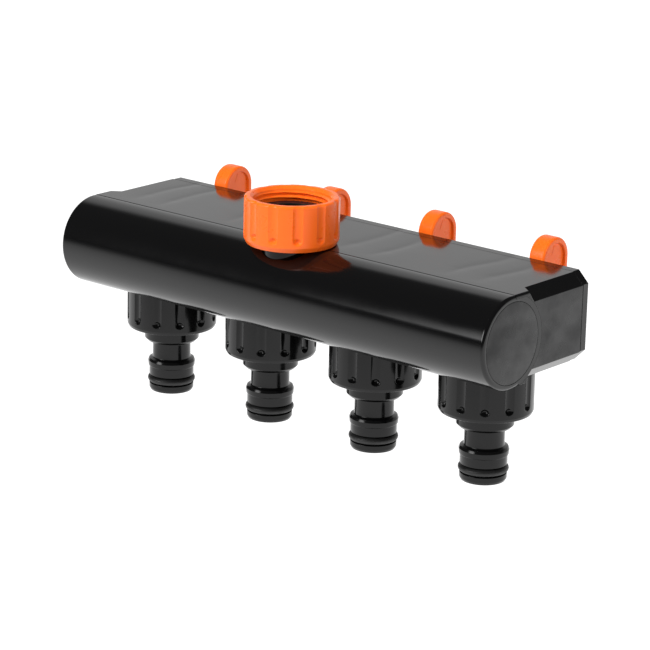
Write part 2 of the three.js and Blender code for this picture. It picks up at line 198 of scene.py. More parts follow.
def sink_marks(material):
    """Shallow dips along Y in the box's top, over the walls of each valve barrel."""
    split = material.nodes.new("ShaderNodeSeparateXYZ")
    warp = material.ranged(material.noise(22, 1.0), -3.0, 3.0)
    material.links.new(material.place, split.inputs[0])
    x = material.maths("ADD", material.maths("MULTIPLY", split.outputs[0], 1 / MM), warp)
    total = None
    for outlet in OUTLETS:
        for offset in (-8.5, 5.0):
            away = material.maths("SUBTRACT", x, OUTLET_X[outlet] + offset)
            near = material.maths("DIVIDE", away, 2.6)
            square = material.maths("MULTIPLY", near, near)
            dip = material.maths("DIVIDE", -0.14, material.maths("ADD", square, 1.0))
            total = dip if total is None else material.maths("ADD", total, dip)
    y = material.maths("MULTIPLY", split.outputs[1], 1 / MM)
    behind = material.ranged(y, 0.0, 1.0, 4.0, 14.0)
    high = material.ranged(material.maths("MULTIPLY", split.outputs[2], 1 / MM), 0.0, 1.0, -13.0, -12.2)
    return material.maths("MULTIPLY", material.maths("MULTIPLY", total, behind), high)


def housing_plastic():
    made = Material("gloss_black_plastic", (0.002, 0.002, 0.0021), 0.1)
    made.vary("Roughness", made.ranged(made.noise(35, 4.0), 0.08, 0.15))
    made.bump([
        sink_marks(made),
        made.maths("MULTIPLY", made.noise(60, 2.0), 0.03),
    ])
    return made.made


def end_plastic():
    """The ends are cut and welded, so they are duller and mottled."""
    made = Material("welded_end_plastic", (0.006, 0.006, 0.0062), 0.3)
    blotches = made.noise(75, 3.0, (1, 1, 1.6))
    made.vary("Roughness", made.ranged(made.noise(140, 5.0), 0.2, 0.42))
    made.vary("Specular IOR Level", made.ranged(blotches, 0.3, 0.52, 0.36, 0.62))
    made.mixed_color(made.noise(90, 5.0), (0.001, 0.001, 0.001), (0.011, 0.011, 0.0114))
    made.bump([made.maths("MULTIPLY", made.noise(110, 4.0), 0.09)])
    return made.made


def fitting_plastic():
    made = Material("fitting_black_plastic", (0.002, 0.002, 0.0021), 0.14)
    made.set("IOR", 1.39)
    made.vary("Roughness", made.ranged(made.noise(180, 4.0), 0.12, 0.2))
    made.bump([made.maths("MULTIPLY", made.noise(350, 3.0), 0.006)])
    return made.made


def orange_plastic():
    made = Material("orange_plastic", (0.79, 0.12, 0.01), 0.28)
    made.mixed_color(made.noise(70, 3.0), (0.77, 0.115, 0.009), (0.81, 0.125, 0.011))
    made.set("IOR", 1.42)
    made.vary("Roughness", made.ranged(made.noise(160, 4.0), 0.24, 0.34))
    made.set("Subsurface Weight", 0.12)
    made.set("Subsurface Radius", (1.0, 0.25, 0.05))
    made.set("Subsurface Scale", 1.2 * MM)
    made.bump([made.maths("MULTIPLY", made.noise(260, 3.0), 0.008)])
    return made.made


def seal_rubber():
    made = Material("seal_rubber", (0.006, 0.006, 0.006), 0.45)
    made.vary("Roughness", made.ranged(made.noise(400, 3.0), 0.38, 0.55))
    made.bump([made.maths("MULTIPLY", made.noise(900, 3.0), 0.01)])
    return made.made


def plated_steel():
    made = Material("plated_steel", (0.62, 0.62, 0.60), 0.28, 1.0)
    made.vary("Roughness", made.ranged(made.noise(700, 4.0), 0.22, 0.38))
    made.bump([made.maths("MULTIPLY", made.noise(1500, 3.0), 0.006)])
    return made.made


HOUSING = housing_plastic()
ENDS = end_plastic()
FITTING = fitting_plastic()
ORANGE = orange_plastic()
RUBBER = seal_rubber()
STEEL = plated_steel()


# ---- mesh tools ----

def rounded(corners, steps=4):
    """A closed outline from (a, b, fillet) corners, with each fillet as a true arc."""
    points = []
    for i, (a, b, fillet) in enumerate(corners):
        here = Vector((a, b))
        if not fillet:
            points.append(tuple(here))
            continue
        before = Vector(corners[i - 1][:2]) - here
        after = Vector(corners[(i + 1) % len(corners)][:2]) - here
        turn = math.pi - before.angle(after)
        reach = fillet * math.tan(turn / 2)
        start = here + before.normalized() * reach
        end = here + after.normalized() * reach
        weight = math.cos(turn / 2)
        for k in range(steps + 1):
            t = k / steps
            parts = ((1 - t) ** 2, 2 * t * (1 - t) * weight, t * t)
            spot = (start * parts[0] + here * parts[1] + end * parts[2]) / sum(parts)
            points.append(tuple(spot))
    return points


def made_mesh(name, vertices, faces, sharp=35):
    """An object from points in millimetres, smooth but for its sharp edges."""
    mesh = bpy.data.meshes.new(name)
    mesh.from_pydata(vertices, [], faces)
    obj = bpy.data.objects.new(name, mesh)
    bpy.context.scene.collection.objects.link(obj)
    tidy_mesh(obj, sharp)
    return obj


def tidy_mesh(obj, sharp=35):
    """Merges doubled points, turns the faces outward and marks the sharp edges."""
    mesh = bmesh.new()
    mesh.from_mesh(obj.data)
    bmesh.ops.remove_doubles(mesh, verts=mesh.verts, dist=0.0005)
    bmesh.ops.recalc_face_normals(mesh, faces=mesh.faces)
    limit = math.radians(sharp)
    for face in mesh.faces:
        face.smooth = True
    for edge in mesh.edges:
        edge.smooth = len(edge.link_faces) == 2 and edge.calc_face_angle(0) < limit
    mesh.to_mesh(obj.data)
    mesh.free()


TURNS = {
    "x": lambda r, along, c, s: (along, r * c, r * s),
    "y": lambda r, along, c, s: (r * c, along, r * s),
    "z": lambda r, along, c, s: (r * c, r * s, along),
}


def even_angles(count):
    return np.arange(count) * 2 * math.pi / count


def revolved(name, profile, angles, axis="z", place=(0, 0, 0), shape=None, sharp=35):
    """A closed outline of (radius, along) points turned about an axis. shape(radius, along, angle)
    gives each point's own radius, for flutes and threads."""
    profile = np.array(profile)
    radius, angle = np.meshgrid(profile[:, 0], angles, indexing="ij")
    along = np.repeat(profile[:, 1][:, None], len(angles), 1)
    if shape:
        radius = shape(radius, along, angle)
    grid = np.stack(TURNS[axis](radius, along, np.cos(angle), np.sin(angle)), -1)
    vertices = grid.reshape(-1, 3) + np.array(place)
    rows, columns = radius.shape
    faces = []
    for i in range(rows):
        after = (i + 1) % rows
        if profile[i, 0] == 0 and profile[after, 0] == 0:
            continue
        for j in range(columns):
            k = (j + 1) % columns
            faces.append((i * columns + j, i * columns + k, after * columns + k, after * columns + j))
    return made_mesh(name, vertices.tolist(), faces, sharp)


def prism(name, outline, low, high, axis="x"):
    """A closed outline pushed along an axis. Its points are (y, z), (x, z) or (x, y)."""
    put = {
        "x": lambda a, b, c: (c, a, b),
        "y": lambda a, b, c: (a, c, b),
        "z": lambda a, b, c: (a, b, c),
    }[axis]
    count = len(outline)
    vertices = [put(a, b, low) for a, b in outline] + [put(a, b, high) for a, b in outline]
    faces = [tuple(range(count)), tuple(range(2 * count - 1, count - 1, -1))]
    for i in range(count):
        k = (i + 1) % count
        faces.append((i, k, count + k, count + i))
    return made_mesh(name, vertices, faces)


def cylinder(name, radius, low, high, axis="z", place=(0, 0, 0), sides=64):
    profile = [(0, low), (radius, low), (radius, high), (0, high)]
    return revolved(name, profile, even_angles(sides), axis, place)


def brick(name, xs, ys, zs):
    outline = [(ys[0], zs[0]), (ys[1], zs[0]), (ys[1], zs[1]), (ys[0], zs[1])]
    return prism(name, outline, xs[0], xs[1])


def applied(obj):
    """Turns an object's modifiers into its mesh."""
    depsgraph = bpy.context.evaluated_depsgraph_get()
    mesh = bpy.data.meshes.new_from_object(obj.evaluated_get(depsgraph))
    old = obj.data
    obj.modifiers.clear()
    obj.data = mesh
    bpy.data.meshes.remove(old)


def combined(obj, others, operation):
    """Cuts others out of obj, or joins them to it, and removes them."""
    for other in others:
        modifier = obj.modifiers.new("join", "BOOLEAN")
        modifier.object = other
        modifier.operation = operation
        modifier.solver = "MANIFOLD"
        applied(obj)
        bpy.data.objects.remove(other)
    tidy_mesh(obj)


def bevelled(obj, width, segments=3, angle=25):
    modifier = obj.modifiers.new("edge", "BEVEL")
    modifier.width = width
    modifier.segments = segments
    modifier.limit_method = "ANGLE"
    modifier.angle_limit = math.radians(angle)
    modifier.use_clamp_overlap = True
    applied(obj)
    tidy_mesh(obj)


def flat_shaded(obj):
    """Keeps large flat faces flat where they meet small round ones."""
    modifier = obj.modifiers.new("normals", "WEIGHTED_NORMAL")
    modifier.keep_sharp = True
    modifier.weight = 100


def finished(obj, body, material, slot, *nodes):
    """Moves a piece into the row frame, gives it its material and body, and hides the CAD nodes it stands
    for. The slot is not used.
    """
    obj.data.transform(Matrix.Translation(AXIS) @ Matrix.Scale(MM, 4))
    obj.data.materials.clear()
    obj.data.materials.append(material)
    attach(obj, body)
    if nodes:
        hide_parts(*nodes)
    return obj


# ---- gallery ----

# Angles about the gallery's axis, from +Y towards +Z: where the wall meets the box's bottom, and
# the inner corner and the outer edge of the step under the lap.
BOX_CORNER = 2 * math.pi - math.asin(-BOX_BOTTOM / GALLERY_RADIUS)
LAP_CORNER = math.atan2(LAP_HEIGHT, BOX_FRONT)
LAP_EDGE = math.acos(BOX_FRONT / GALLERY_RADIUS)


def lap_limit(angle):
    """How far from the axis the gallery's wall reaches where the box's top laps over it."""
    turn = np.mod(angle, 2 * math.pi)
    limit = np.full_like(turn, 99.0)
    under = (turn > 0.3) & (turn <= LAP_CORNER)
    limit[under] = LAP_HEIGHT / np.sin(turn[under])
    step = (turn > LAP_CORNER) & (turn <= LAP_EDGE)
    limit[step] = BOX_FRONT / np.cos(turn[step])
    return limit


def gallery():
    half = HALF_LENGTH
    outer = GALLERY_RADIUS
    side = [
        (outer, half, RIM_ROUND), (CAP_SEAT, half, 0.12), (CAP_SEAT, half - 4, 0),
        (GALLERY_BORE, half - 4, 0),
    ]
    other = [(radius, -along, fillet) for radius, along, fillet in reversed(side)]
    lap_start = math.asin(LAP_HEIGHT / outer)
    angles = np.unique(np.concatenate([even_angles(160), [LAP_CORNER, LAP_EDGE, lap_start]]))

    def shape(radius, along, angle):
        """The rim is round only where the box leaves it bare, and the wall stops under the lap."""
        turn = np.mod(angle, 2 * math.pi)
        boxed = (turn < LAP_EDGE) | (turn > BOX_CORNER)
        skin = np.minimum(np.where(boxed, outer, radius), lap_limit(angle))
        return np.where(radius > CAP_SEAT + 0.1, skin, radius)

    tube = revolved("gallery_shell", rounded(side + other, 5), angles, "x", shape=shape)
    holes = [cylinder("hole", NUT_HOLE, 5, 20)]
    for outlet in OUTLETS:
        holes.append(cylinder("hole", WATER_HOLE, 5, 20, "y", (OUTLET_X[outlet], 0, 0), 48))
    combined(tube, holes, "DIFFERENCE")
    flat_shaded(tube)
    finished(tube, "housing", HOUSING, "housing_black", "gallery_tube")


def end_caps():
    face = HALF_LENGTH
    for name, side in (("left", -1), ("right", 1)):
        corners = [
            (0, face, 0), (CAP_RADIUS, face, 0.12), (CAP_RADIUS, face - 3.7, 0),
            (12.9, face - 3.7, 0), (12.9, face - 9, 0.3), (11.2, face - 9, 0.3), (11.2, face - 3, 0),
            (0, face - 3, 0),
        ]
        profile = [(radius, side * along) for radius, along in rounded(corners)]
        cap = revolved(f"end_disc_{name}", profile, even_angles(120), "x")
        finished(cap, "housing", ENDS, "housing_black", f"end_cap_{name}")


# ---- box ----

def end_wedges(half, back):
    """The cutters for the chamfered ends, above and below, at the right and the left."""
    cutters = []
    for side in (1, -1):
        edge, out = side * (half - END_CHAMFER), side * (half + 1)
        rise = END_CHAMFER + 1
        high, low = BOX_TOP, BOX_BOTTOM
        front = [(edge, 11, high), (out, 11, high - rise), (out, 6.5, high + 1), (edge, 10.2, high + 1)]
        rear = [(x, back + 1, z) for x, y, z in front]
        faces = [
            (0, 1, 2), (0, 2, 3), (4, 6, 5), (4, 7, 6),
            (0, 4, 5, 1), (1, 5, 6, 2), (2, 6, 7, 3), (3, 7, 4, 0),
        ]
        cutters.append(made_mesh("wedge", front + rear, faces))
        front = [(edge, 7.3, low), (out, 7.3, low - 1), (edge, 7.3, low - 1), (out, 11.6, low + rise)]
        rear = [(x, back + 1, z) for x, y, z in front]
        faces = [(0, 2, 1, 3), (4, 7, 5, 6), (0, 3, 7, 4), (3, 1, 5, 7), (1, 2, 6, 5), (2, 0, 4, 6)]
        cutters.append(made_mesh("wedge", front + rear, faces))
    return cutters


def rim_cutters(half):
    """Rounds the short stretch of the top's end edge that runs on from the gallery's rim."""
    cutters = []
    for side in (1, -1):
        middle = (half - RIM_ROUND, BOX_TOP - RIM_ROUND)
        arc = [
            (side * (middle[0] + RIM_ROUND * math.sin(t)), middle[1] + RIM_ROUND * math.cos(t))
            for t in np.linspace(0, math.pi / 2, 7)
        ]
        outline = arc + [(side * (half + 1), middle[1]), (side * (half + 1), BOX_TOP + 1),
                         (side * middle[0], BOX_TOP + 1)]
        cutters.append(prism("rim", outline, 0, 11, "y"))
    return cutters


def saddle():
    """The cutter for the gallery's seat, less the tongue that laps over the gallery's top."""
    half = HALF_LENGTH
    made = cylinder("saddle", GALLERY_RADIUS + SEAM, -half - 1, half + 1, "x", sides=192)
    tongue = brick("tongue", (-half - 2, half + 2), (0, 16), (LAP_HEIGHT + SEAM, 18))
    combined(made, [tongue], "DIFFERENCE")
    return made


def valve_housing():
    half = HALF_LENGTH
    depth = (BOX_FRONT + 2 * SEAM, HOUSING_BACK)
    shell = brick("housing_shell", (-half, half), depth, (BOX_BOTTOM, BOX_TOP))
    combined(shell, end_wedges(half, HOUSING_BACK), "DIFFERENCE")
    bevelled(shell, 0.15)
    combined(shell, rim_cutters(half), "DIFFERENCE")
    room_end = half - END_CHAMFER
    room = brick("room", (-room_end, room_end), (5, HOUSING_BACK + 1), (BOX_BOTTOM + 2, BOX_TOP - 2))
    combined(room, [cylinder("wall", GALLERY_RADIUS + 2.3, -half, half, "x", sides=96)], "DIFFERENCE")
    combined(shell, [room], "DIFFERENCE")
    added = []
    for x in COVER_SCREWS:
        added.append(cylinder("boss", 3.2, GALLERY_RADIUS, HOUSING_BACK, "y", (x, 0, 0), 24))
    for x in COVER_SCREWS[1:-1]:
        ys = (GALLERY_RADIUS, HOUSING_BACK - 1)
        added.append(brick("rib", (x - 0.8, x + 0.8), ys, (BOX_BOTTOM + 1, BOX_TOP - 1)))
    combined(shell, added, "UNION")
    cuts = [saddle(), cylinder("hole", NUT_HOLE, 9, 18)]
    for outlet in OUTLETS:
        x = OUTLET_X[outlet]
        cuts.append(cylinder("hole", BARREL[1] + SEAM, 10, BARREL_BACK, "y", (x, 0, 0)))
        place = (x, OUTLET_Y, 0)
        cuts.append(cylinder("hole", SPOUT_ROOT + SEAM, -17, BOX_BOTTOM + 2.3, "z", place, 96))
    for x in COVER_SCREWS:
        cuts.append(cylinder("pilot", 1.5, 24, HOUSING_BACK + 1, "y", (x, 0, 0), 24))
    combined(shell, cuts, "DIFFERENCE")
    flat_shaded(shell)
    finished(shell, "housing", HOUSING, "housing_black", "valve_housing")
    shell.data.materials.append(ENDS)
    for face in shell.data.polygons:
        if abs(face.center.x) > (half - 0.02) * MM:
            face.material_index = 1


def ridge(phase):
    """The section of a thread's ridge across one pitch, from 0 at its foot to 1 at its crest."""
    away = np.abs(np.mod(phase, 1.0) - 0.5)
    return np.clip((0.31 - away) / 0.23, 0, 1)


def faded(along, low, high, run):
    """1 between low and high, falling to 0 over a short run at each end."""
    return np.clip((along - low) / run, 0, 1) * np.clip((high - along) / run, 0, 1)


def thread_rows(radius, low, high, per_pitch=10):
    count = int((high - low) / THREAD_PITCH * per_pitch)
    return [(radius, z, 0) for z in np.linspace(low, high, count)]


def valve_bodies():
    """Each valve's barrel and the threaded spout under it, its thread in step with the nut's own."""
    top = BOX_BOTTOM + 1
    rows = thread_rows(SPOUT_ROOT, SPOUT_END + 0.6, BOX_BOTTOM - 1)
    corners = [
        (SPOUT_BORE, SPOUT_END, 0.3), (SPOUT_ROOT, SPOUT_END, 0.3), *rows, (SPOUT_ROOT, top, 0),
        (0, top, 0), (0, top - 1.75, 0), (SPOUT_BORE, top - 1.75, 0),
    ]

    def male(radius, along, angle):
        height = 1.15 * ridge(along / THREAD_PITCH - angle / (2 * math.pi) + 0.5)
        height = height * faded(along, SPOUT_END + 0.5, BOX_BOTTOM - 1.1, 0.8)
        return np.where(np.abs(radius - SPOUT_ROOT) < 0.01, radius + height, radius)

    for outlet in OUTLETS:
        x = OUTLET_X[outlet]
        place = (x, OUTLET_Y, 0)
        body = revolved(f"valve_barrel_{outlet}", rounded(corners), even_angles(120), "z", place, male)
        barrel = cylinder("barrel", BARREL[1], 10, BARREL_BACK, "y", (x, 0, 0))
        neck = cylinder("neck", PORT_RADIUS + 2, BOX_BOTTOM, -BARREL[0], "z", (x, PORT_Y, 0))
        combined(body, [barrel, neck], "UNION")
        bore = cylinder("bore", BARREL[0], 10, BARREL_BACK + 1, "y", (x, 0, 0))
        port = cylinder("port", PORT_RADIUS, -17, 0, "z", (x, PORT_Y, 0), 48)
        combined(body, [saddle(), bore, port], "DIFFERENCE")
        finished(body, "housing", HOUSING, "housing_black", f"valve_body_{outlet}")


def back_cover():
    depth = (COVER_FRONT, COVER_BACK)
    cover = brick("cover_plate", (-COVER_HALF, COVER_HALF), depth, (BOX_BOTTOM, BOX_TOP))
    combined(cover, end_wedges(COVER_HALF, COVER_BACK), "DIFFERENCE")
    bevelled(cover, 0.07)
    keepers = []
    holes = []
    for outlet in OUTLETS:
        x = OUTLET_X[outlet]
        keepers.append(cylinder("keeper", KEEPER_RADIUS, 33.8, COVER_FRONT + 1, "y", (x, 0, 0)))
        holes.append(cylinder("hole", STEM_HOLE, 33, COVER_BACK + 1, "y", (x, 0, 0)))
    for x in COVER_SCREWS:
        profile = [(0, 38), (1.8, 38), (1.8, 40), (3.5, 41.5), (3.5, 43), (0, 43)]
        holes.append(revolved("sink", profile, even_angles(40), "y", (x, 0, 0)))
    for side in (-1, 1):
        xs = sorted((side * (COVER_HALF - END_SEAM["depth"]), side * (COVER_HALF + 1)))
        ys = (COVER_FRONT - 1, COVER_FRONT + END_SEAM["width"])
        holes.append(brick("seam", xs, ys, (-15, 15)))
    combined(cover, keepers, "UNION")
    combined(cover, holes, "DIFFERENCE")
    flat_shaded(cover)
    finished(cover, "housing", HOUSING, "housing_black", "back_cover")


# ---- inlet ----

def inlet_fittings():
    foot = 9.6
    collar, top = COLLAR_HEIGHTS
    corners = [
        (SPIGOT_BORE, foot, 0.3), (SPIGOT_RADIUS, foot, 0), (SPIGOT_RADIUS, collar, 0),
        (COLLAR_RADIUS, collar, 0.2), (COLLAR_RADIUS, top, 0.3), (SPIGOT_BORE, top, 0.3),
    ]
    spigot = revolved("inlet_stem", rounded(corners), even_angles(96))
    finished(spigot, "housing", FITTING, "fitting_black", "inlet_spigot")
    low, high = WASHER
    corners = [(7.8, low, 0.3), (11.6, low, 0.3), (11.6, high, 0.3), (7.8, high, 0.3)]
    washer = revolved("inlet_gasket", rounded(corners), even_angles(96))
    finished(washer, "housing", RUBBER, "rubber", "inlet_washer")


# ---- nuts ----

def nut_angles(radius, turn):
    """Columns close together in each flute and wide apart between them."""
    fine = np.linspace(-2.0, 2.0, 21) / radius
    step = 2 * math.pi / FLUTES
    coarse = np.linspace(fine[-1], step + fine[0], 6)[1:-1]
    one = np.concatenate([fine, coarse])
    return np.concatenate([one + i * step for i in range(FLUTES)]) + math.radians(turn)


def smooth(value):
    value = np.clip(value, 0, 1)
    return value * value * (3 - 2 * value)


def nut(name, radius, span, place, turn, thread, foot, per_pitch=8):
    """A swivel nut with its closed end down: a fluted grip with a dimple at the foot of each flute,
    and a female thread whose ridge keeps step with the thread it runs on."""
    low, high = span
    wall = 2.8
    dimple = low + FLUTE_START
    outer = [(radius, z, 0) for z in np.linspace(dimple - 1.7, dimple + 1.9, 17)]
    outer += [(radius, z, 0) for z in np.linspace(dimple + 2.5, high - 1.4, 5)]
    inner = thread_rows(THREAD_ROOT, *thread, per_pitch)[::-1]
    corners = [
        (NUT_HOLE, low, 0.3), (radius - foot[0], low, 0.4), (radius, low + foot[1], 0.5), *outer,
        (radius, high, 0.9), (radius - 2, high, 0.4), (THREAD_ROOT, high - 1, 0.2), *inner,
        (THREAD_ROOT, low + wall, 0), (NUT_HOLE, low + wall, 0),
    ]
    step = 2 * math.pi / FLUTES
    start = math.radians(turn)

    def shape(r, along, angle):
        across = (np.mod(angle - start + step / 2, step) - step / 2) * radius
        bowl = np.clip(1 - (across / 1.75) ** 2, 0, 1) ** 0.8
        channel = bowl * smooth((along - dimple + 0.8) / 1.4)
        away = np.hypot(across / 1.6, (along - dimple) / 1.35)
        pit = np.clip(1 - away * away, 0, 1)
        depth = np.maximum(0.62 * channel, 1.2 * pit)
        share = np.clip((r - radius + 1.3) / 1.0, 0, 1) * smooth((along - low - 1.0) / 1.0)
        outside = r - depth * share
        height = 1.05 * ridge(along / THREAD_PITCH - angle / (2 * math.pi))
        height = height * faded(along, thread[0] - 0.1, thread[1] + 0.1, 0.6)
        inside = r - np.where(np.abs(r - THREAD_ROOT) < 0.01, height, 0)
        return np.where(r > THREAD_ROOT + 1.2, outside, inside)

    return revolved(name, rounded(corners, 5), nut_angles(radius, turn), "z", place, shape)


def nuts():
    high = INLET_NUT[1]
    inlet = nut("inlet_swivel_nut", INLET_NUT_RADIUS, INLET_NUT, (0, 0, 0), NUT_TURN["inlet"],
                (high - 4.5, high - 1.7), (0.8, 1.7), 14)
    finished(inlet, "inlet_nut", ORANGE, "orange", "inlet_nut")
    for outlet in OUTLETS:
        place = (OUTLET_X[outlet], OUTLET_Y, 0)
        made = nut(f"swivel_nut_{outlet}", OUTLET_NUT_RADIUS, OUTLET_NUT, place, NUT_TURN[outlet],
                   (-23.4, OUTLET_NUT[1] - 1.3), (0.5, 1.2))
        finished(made, f"outlet_nut_{outlet}", FITTING, "fitting_black", f"outlet_nut_{outlet}")


# ---- nipples ----

def nipples():
    """Each nipple has a flange in the nut, a neck, a bead, and a groove for the seal near its tip."""
    corners = [
        (7.5, -26.2, 0.2), (11.7, -26.2, 0.3), (11.7, -28.7, 0.3), (9.9, -28.7, 0.3), (9.9, -36.3, 0.3),
        (8.9, -37.35, 0.3), (6.9, -37.8, 0.45), (6.9, -43.9, 0.4), (8.2, -44.3, 0.15), (8.6, -45.2, 0.4),
        (8.45, -46.9, 0.15), (8.1, -47.25, 0.15), (8.1, -50.45, 0.2), (5.85, -50.45, 0.2),
        (5.85, -53.6, 0.2), (8.1, -53.6, 0.15), (8.1, -55.3, 0.5), (7.6, TIP_BOTTOM, 0.35),
        (4.4, TIP_BOTTOM, 0.3), (4.4, -38, 1.0), (7.5, -34, 1.0),
    ]
    ring = [(7.4 + 1.25 * math.cos(t), -52.03 + 1.25 * math.sin(t)) for t in even_angles(20)]
    for outlet in OUTLETS:
        place = (OUTLET_X[outlet], OUTLET_Y, 0)
        body = f"nipple_{outlet}"
        made = revolved(f"hose_nipple_{outlet}", rounded(corners), even_angles(96), "z", place)
        finished(made, body, FITTING, "fitting_black", f"nipple_{outlet}")
        seal = revolved(f"tip_seal_{outlet}", ring, even_angles(96), "z", place)
        finished(seal, body, RUBBER, "rubber", f"nipple_seal_{outlet}")


# ---- levers ----

def fin_outline(inset):
    """The fin's outline in (y, z), moved in from its edge."""
    tip_radius = (LEVER_BACK - FIN_FRONT) / 2
    middle = ((LEVER_BACK + FIN_FRONT) / 2, LEVER_TOP - tip_radius)
    radius = tip_radius - inset
    arc = [(middle[0] + radius * math.cos(t), middle[1] + radius * math.sin(t))
           for t in np.linspace(0, math.pi, 33)]
    return [(FIN_FRONT + inset, inset), (52.5 - inset * 0.7, inset), (LEVER_BACK - inset, 9.0), *arc]


def fin(name, x):
    """The lever's fin: a rounded rim round a recess on each side."""
    levels = [(0.0, 2.25), (0.1, 2.65), (0.28, 2.92), (0.55, 3.12), (0.9, 3.2), (1.7, 3.2), (1.88, 3.12),
              (2.0, 2.9), (2.1, 2.4), (2.2, 2.24), (2.45, 2.2)]
    rings = [(inset, -side) for inset, side in reversed(levels)] + levels
    vertices = []
    for inset, side in rings:
        vertices += [(x + side, y, z) for y, z in fin_outline(inset)]
    count = len(fin_outline(0))
    faces = [tuple(range(count)), tuple(range(len(vertices) - 1, len(vertices) - count - 1, -1))]
    for i in range(len(rings) - 1):
        for j in range(count):
            k = (j + 1) % count
            faces.append((i * count + j, i * count + k, (i + 1) * count + k, (i + 1) * count + j))
    return made_mesh(name, vertices, faces, 40)


def arrow(x, side):
    """A small raised arrowhead on the floor of the fin's recess."""
    middle = Vector((50.25, 17.3))
    corners = [Vector((50.25, 19.6)), Vector((51.75, 16.2)), Vector((48.75, 16.2))]
    rings = []
    for height, share in ((1.9, 1.0), (2.25, 1.0), (2.32, 0.8)):
        rings.append([middle + (corner - middle) * share for corner in corners])
        rings[-1] = [(x + side * height, y, z) for y, z in rings[-1]]
    vertices = [point for ring in rings for point in ring]
    faces = [(0, 1, 2), (8, 7, 6)]
    for i in (0, 3):
        for j in range(3):
            k = (j + 1) % 3
            faces.append((i + j, i + k, i + 3 + k, i + 3 + j))
    return made_mesh("arrow", vertices, faces)


def lever(outlet):
    x = OUTLET_X[outlet]
    made = fin(f"valve_lever_{outlet}", x)
    corners = [
        (0, LEVER_FRONT, 0), (HUB_RADIUS, LEVER_FRONT, 0.3), (HUB_RADIUS, 44.7, 0.5), (7.2, 45.6, 1.0),
        (6.2, 52, 0.6), (0, 52, 0),
    ]
    hub = revolved("hub", rounded(corners), even_angles(72), "y", (x, 0, 0))
    combined(made, [hub, arrow(x, 1), arrow(x, -1)], "UNION")
    drive = (-DRIVE_HALF, DRIVE_HALF)
    cuts = [
        brick("socket", (x - DRIVE_HALF, x + DRIVE_HALF), (LEVER_FRONT - 1, 47.3), drive),
        cylinder("hole", 1.9, 40, 53, "y", (x, 0, 0), 24),
        cylinder("well", 3.7, LEVER_SEAT - 0.3, 60, "y", (x, 0, 0), 48),
    ]
    combined(made, cuts, "DIFFERENCE")
    flat_shaded(made)
    finished(made, f"valve_{outlet}", ORANGE, "orange", f"lever_{outlet}")


# ---- screws ----

def screw(name, profile, x, top, arm, body, node):
    """A screw along Y with a cross recess in its head, whose arms reach out from the middle."""
    made = revolved(name, rounded(profile, 3), even_angles(40), "y", (x, 0, 0))
    slots = []
    for half_x, half_z in ((arm, 0.35), (0.35, arm)):
        slots.append(brick("slot", (x - half_x, x + half_x), (top - 0.9, top + 1), (-half_z, half_z)))
    combined(made, slots, "DIFFERENCE")
    flat_shaded(made)
    finished(made, body, STEEL, "steel", node)


def screws():
    seat = LEVER_SEAT
    top = seat + 2
    pan = [
        (0, seat - 10, 0), (1.3, seat - 9, 0), (1.3, seat, 0), (3.2, seat, 0.2), (3.2, top, 1.1),
        (0, top, 0),
    ]
    for outlet in OUTLETS:
        screw(f"handle_screw_{outlet}", pan, OUTLET_X[outlet], top, 1.9,
              f"valve_{outlet}", f"lever_screw_{outlet}")
    top = COVER_BACK - 0.3
    sunk = [(0, 28, 0), (1.2, 29, 0), (1.2, 40.2, 0), (3.1, top - 0.2, 0), (3.1, top, 0), (0, top, 0)]
    for number, x in enumerate(COVER_SCREWS, 1):
        screw(f"plate_screw_{number}", sunk, x, top, 1.8, "housing", f"cover_screw_{number}")


# ---- the CAD nodes that stay: plugs, seals and washers inside ----

def inner_parts():
    for outlet in OUTLETS:
        for node, material in (
            (f"valve_plug_{outlet}", FITTING),
            (f"plug_seal_{outlet}a", RUBBER),
            (f"plug_seal_{outlet}b", RUBBER),
            (f"outlet_washer_{outlet}", RUBBER),
        ):
            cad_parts[node].data.materials.clear()
            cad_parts[node].data.materials.append(material)


# ---- stage ----

CAMERA_TURNS = (39.873, 16.411, 1.386)
CAMERA_LENS = 165.15
CAMERA_DISTANCE = 1.02361
CAMERA_AIM = (11.87, -12.95)
FLOOR_SIZE = 12
FLOOR_DROP = 0.02
# How brightly the floor glows along Y: painted light, brightest near the splitter and dim far in front.
FLOOR_GLOW_LEVELS = (
    (-2.0, 0.08), (-0.8, 0.22), (-0.45, 0.5), (-0.22, 0.92), (-0.1, 1.15), (0.3, 1.15), (2.0, 1.05),
)
STUDIO_LEVEL = 0.085
WALL_LEVEL = 0.82
SOFTBOX_LEVEL = 7.5


def camera():
    """A long lens, a little above and to the right of the gallery's front."""
    yaw, pitch, roll = (math.radians(angle) for angle in CAMERA_TURNS)
    back = Vector((math.sin(yaw) * math.cos(pitch), -math.cos(yaw) * math.cos(pitch), math.sin(pitch)))
    level = Vector((math.cos(yaw), math.sin(yaw), 0))
    upright = back.cross(level)
    right = math.cos(roll) * level + math.sin(roll) * upright
    up = math.cos(roll) * upright - math.sin(roll) * level
    aim = (right * CAMERA_AIM[0] + up * CAMERA_AIM[1]) * MM + AXIS
    data = bpy.data.cameras.new("camera")
    data.lens = CAMERA_LENS
    data.sensor_width = 36
    data.clip_end = 20
    made = bpy.data.objects.new("camera", data)
    bpy.context.scene.collection.objects.link(made)
    axes = Matrix((right, up, back)).transposed().to_4x4()
    made.matrix_world = Matrix.Translation(aim + back * CAMERA_DISTANCE) @ axes
    bpy.context.scene.camera = made


